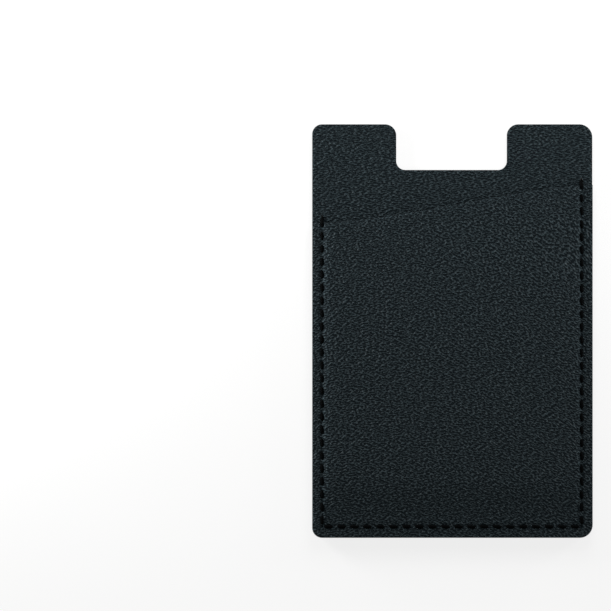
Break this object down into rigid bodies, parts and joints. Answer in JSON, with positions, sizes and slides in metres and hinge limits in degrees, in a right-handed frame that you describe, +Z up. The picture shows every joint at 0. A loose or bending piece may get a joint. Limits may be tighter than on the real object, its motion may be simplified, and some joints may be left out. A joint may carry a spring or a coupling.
{
  "type": "stick-on phone card holder",
  "caption": "Flat black leather-look card pocket with a slanted mouth, sewn on three sides, a thumb notch in its top edge and an adhesive back under a peel-off liner.",
  "frame": {"origin": "under the middle of the holder, on the flat surface it lies on, at the outer face of the liner", "axes": "+X across the holder towards the high end of the pocket's mouth, +Y along it towards the thumb notch, +Z up out of the pocket's front"},
  "size_m": [0.065, 0.0958, 0.0035],
  "materials": {
    "leather": "pebbled imitation leather, satin",
    "thread": "twisted bonded polyester",
    "adhesive": "double-sided foam tape",
    "liner": "silicone-coated release paper"
  },
  "bodies": {
    "root": {"back_panel": "leather", "pocket_panel": "leather", "needle_thread": "thread", "bobbin_thread": "thread", "adhesive_sheet": "adhesive", "release_liner": "liner"}
  },
  "joints": []
}
